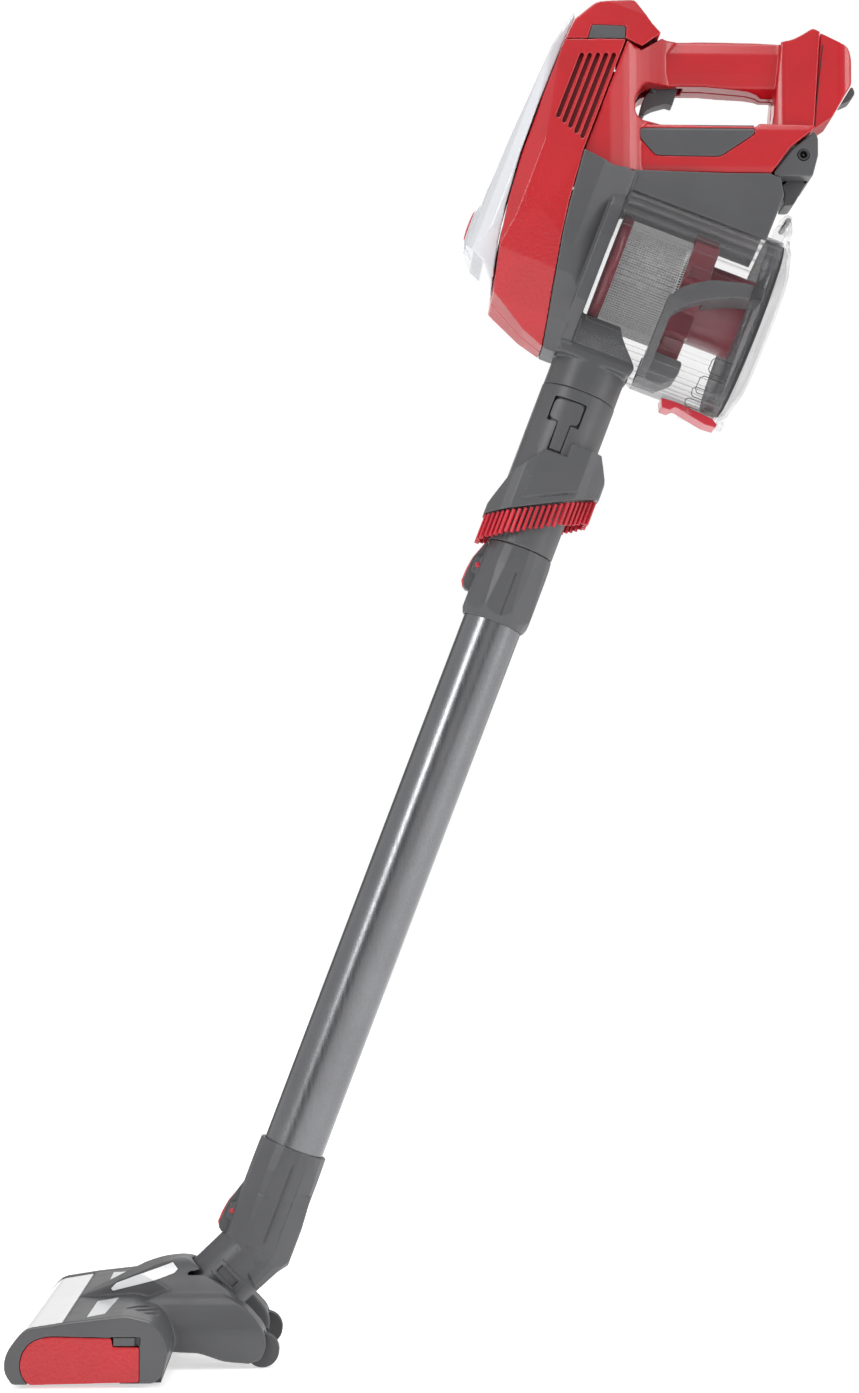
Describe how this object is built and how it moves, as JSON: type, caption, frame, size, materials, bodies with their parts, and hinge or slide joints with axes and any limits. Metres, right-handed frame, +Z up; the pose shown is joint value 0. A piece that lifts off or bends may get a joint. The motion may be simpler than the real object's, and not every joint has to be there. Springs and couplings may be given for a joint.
{
  "type": "cordless stick vacuum",
  "caption": "Cordless stick vacuum: red handheld unit with a clear dust bin, metal wand, swivelling neck and a powered floor head.",
  "frame": {"origin": "on the floor at the middle of the glide strip under the floor head", "axes": "+Z up, +X towards the rear of the cleaner (the side of the handle), -Y the user's left; the wand leans back as it stands in use"},
  "size_m": [0.6222, 0.25, 1.0142],
  "materials": {
    "red_shell": "satin moulded plastic",
    "red_trim": "satin moulded plastic",
    "bristles": "fine bristles in tufts",
    "silver_cover": "pearl white gloss",
    "charcoal": "fine grained",
    "dark_plastic": "fine grained",
    "rubber": "matte",
    "tyre": "matte",
    "clear_plastic": "clear, slightly smoky",
    "wine_plastic": "satin",
    "white_plastic": "perforated",
    "filter": "pleated",
    "wand_metal": "brushed and anodised",
    "motor_metal": "cast",
    "steel": "ground",
    "cells": "shrink wrapped cells",
    "board": "lacquered board",
    "brush": "core with bristle rows"
  },
  "bodies": {
    "main_unit": {"casing_left": "red_shell", "casing_right": "red_shell", "top_cap": "red_shell", "motor": "motor_metal", "motor_filter": "filter", "control_board": "board", "casing_rear": "charcoal", "handle_left": "red_shell", "handle_right": "red_shell", "bridge_cover": "charcoal", "trigger_switch": "dark_plastic", "brush_sleeve": "charcoal", "bristle_ring": "bristles"},
    "rotor": {"impeller": "motor_metal"},
    "front_cover": {"front_cover": "silver_cover", "front_badge": "red_trim"},
    "cover_latch_left": {"cover_latch_left": "charcoal"},
    "cover_latch_right": {"cover_latch_right": "charcoal"},
    "trigger": {"trigger": "charcoal"},
    "crevice": {"crevice_tool": "charcoal", "crevice_cap": "red_shell", "crevice_tab": "charcoal"},
    "battery": {"battery_case": "charcoal", "cell_pack": "cells", "charge_socket": "dark_plastic"},
    "battery_latch": {"battery_latch": "charcoal"},
    "bin": {"bin_cup": "clear_plastic", "shroud": "white_plastic", "cyclone_cone": "wine_plastic", "bin_filter": "filter", "inlet_duct": "charcoal", "door_pin": "steel"},
    "bin_door": {"bin_door": "clear_plastic", "door_seal": "rubber"},
    "door_latch": {"door_latch": "red_trim"},
    "brush_catch": {"brush_catch": "charcoal"},
    "wand": {"wand_tube": "wand_metal", "wand_socket": "charcoal"},
    "upper_button": {"upper_button": "red_trim"},
    "neck": {"neck_elbow": "charcoal", "neck_clip": "charcoal"},
    "lower_button": {"lower_button": "red_trim"},
    "yoke": {"yoke": "charcoal"},
    "head": {"head_shell": "charcoal", "window": "clear_plastic", "end_cap_left": "charcoal", "end_cap_right": "charcoal", "head_motor": "motor_metal", "drive_belt": "rubber", "sole_plate": "dark_plastic", "glide_strip": "dark_plastic"},
    "brush_cover": {"brush_cover": "red_shell"},
    "brush_roll": {"brush_roll": "brush"},
    "roll_pulley": {"roll_pulley": "dark_plastic"},
    "motor_pinion": {"motor_pinion": "motor_metal"},
    "brush_release": {"brush_release": "charcoal"},
    "rear_wheel_left": {"rear_wheel_left": "tyre"},
    "rear_wheel_right": {"rear_wheel_right": "tyre"},
    "front_roller_left": {"front_roller_left": "tyre"},
    "front_roller_right": {"front_roller_right": "tyre"}
  },
  "joints": [
    {"name": "rotor_spin", "type": "hinge", "parent": "main_unit", "child": "rotor", "pos_m": [0.33693, 0, 0.81925], "axis": [0.9348, 0, -0.3551], "continuous": true},
    {"name": "cover_pull", "type": "slide", "parent": "main_unit", "child": "front_cover", "axis": [-0.9348, 0, 0.3551], "range_m": [0, 0.04]},
    {"name": "cover_latch_left_press", "type": "slide", "parent": "main_unit", "child": "cover_latch_left", "axis": [0, 1, 0], "range_m": [0, 0.002], "stiffness_N_per_m": 600, "springref_m": -0.001},
    {"name": "cover_latch_right_press", "type": "slide", "parent": "main_unit", "child": "cover_latch_right", "axis": [0, -1, 0], "range_m": [0, 0.002], "stiffness_N_per_m": 600, "springref_m": -0.001},
    {"name": "trigger_pull", "type": "hinge", "parent": "main_unit", "child": "trigger", "pos_m": [0.40558, 0, 0.94986], "axis": [0, -1, 0], "range_deg": [0, 10], "stiffness_Nm_per_rad": 0.3, "springref_deg": -11.46},
    {"name": "crevice_slide", "type": "slide", "parent": "main_unit", "child": "crevice", "axis": [1, 0, 0], "range_m": [0, 0.16]},
    {"name": "battery_slide", "type": "slide", "parent": "main_unit", "child": "battery", "axis": [1, 0, 0], "range_m": [0, 0.15]},
    {"name": "battery_latch_pull", "type": "hinge", "parent": "battery", "child": "battery_latch", "pos_m": [0.51408, 0, 0.88036], "axis": [0, -1, 0], "range_deg": [0, 5], "stiffness_Nm_per_rad": 2, "springref_deg": -5.73},
    {"name": "bin_slide", "type": "slide", "parent": "main_unit", "child": "bin", "axis": [0.9348, 0, -0.3551], "range_m": [0, 0.12]},
    {"name": "bin_door_swing", "type": "hinge", "parent": "bin", "child": "bin_door", "pos_m": [0.50711, 0, 0.84767], "axis": [0, -1, 0], "range_deg": [0, 100]},
    {"name": "door_latch_press", "type": "hinge", "parent": "bin", "child": "door_latch", "pos_m": [0.42995, 0, 0.70369], "axis": [0, 1, 0], "range_deg": [0, 3.5], "stiffness_Nm_per_rad": 1, "springref_deg": -5.73},
    {"name": "brush_catch_press", "type": "slide", "parent": "main_unit", "child": "brush_catch", "axis": [0, 1, 0], "range_m": [0, 0.0006], "stiffness_N_per_m": 2000, "springref_m": -0.0003},
    {"name": "wand_pull", "type": "slide", "parent": "main_unit", "child": "wand", "axis": [-0.3551, 0, -0.9348], "range_m": [0, 0.03]},
    {"name": "upper_button_press", "type": "hinge", "parent": "wand", "child": "upper_button", "pos_m": [0.27137, 0, 0.58528], "axis": [0, -1, 0], "range_deg": [0, 2.5], "stiffness_Nm_per_rad": 2, "springref_deg": -5.73},
    {"name": "neck_pull", "type": "slide", "parent": "wand", "child": "neck", "axis": [-0.3551, 0, -0.9348], "range_m": [0, 0.05]},
    {"name": "lower_button_press", "type": "hinge", "parent": "neck", "child": "lower_button", "pos_m": [0.0899, 0, 0.10588], "axis": [0, -1, 0], "range_deg": [0, 2.5], "stiffness_Nm_per_rad": 2, "springref_deg": -5.73},
    {"name": "neck_swivel", "type": "hinge", "parent": "neck", "child": "yoke", "pos_m": [0.067, 0, 0.0415], "axis": [0.7266, 0, 0.6871], "range_deg": [-35, 35]},
    {"name": "neck_tilt", "type": "hinge", "parent": "yoke", "child": "head", "pos_m": [0.067, 0, 0.0415], "axis": [0, -1, 0], "range_deg": [0, 50]},
    {"name": "brush_cover_pull", "type": "slide", "parent": "head", "child": "brush_cover", "axis": [0, -1, 0], "range_m": [0, 0.25]},
    {"name": "brush_spin", "type": "hinge", "parent": "brush_cover", "child": "brush_roll", "pos_m": [-0.0318, 0, 0.018], "axis": [0, 1, 0], "continuous": true},
    {"name": "pulley_spin", "type": "hinge", "parent": "head", "child": "roll_pulley", "pos_m": [-0.0318, 0, 0.018], "axis": [0, 1, 0], "continuous": true},
    {"name": "pinion_spin", "type": "hinge", "parent": "head", "child": "motor_pinion", "pos_m": [0.026, 0, 0.024], "axis": [0, 1, 0], "continuous": true},
    {"name": "brush_release_slide", "type": "slide", "parent": "head", "child": "brush_release", "axis": [1, 0, 0], "range_m": [0, 0.0035], "stiffness_N_per_m": 200, "springref_m": -0.002},
    {"name": "rear_wheel_left_spin", "type": "hinge", "parent": "head", "child": "rear_wheel_left", "pos_m": [0.1138, 0, 0.012], "axis": [0, 1, 0], "continuous": true},
    {"name": "rear_wheel_right_spin", "type": "hinge", "parent": "head", "child": "rear_wheel_right", "pos_m": [0.1138, 0, 0.012], "axis": [0, 1, 0], "continuous": true},
    {"name": "front_roller_left_spin", "type": "hinge", "parent": "head", "child": "front_roller_left", "pos_m": [-0.008, 0, 0.005], "axis": [0, 1, 0], "continuous": true},
    {"name": "front_roller_right_spin", "type": "hinge", "parent": "head", "child": "front_roller_right", "pos_m": [-0.008, 0, 0.005], "axis": [0, 1, 0], "continuous": true}
  ],
  "couplings": [
    {"joint": "brush_spin", "follows": "pulley_spin", "ratio": 1},
    {"joint": "pinion_spin", "follows": "pulley_spin", "ratio": 1.5}
  ]
}
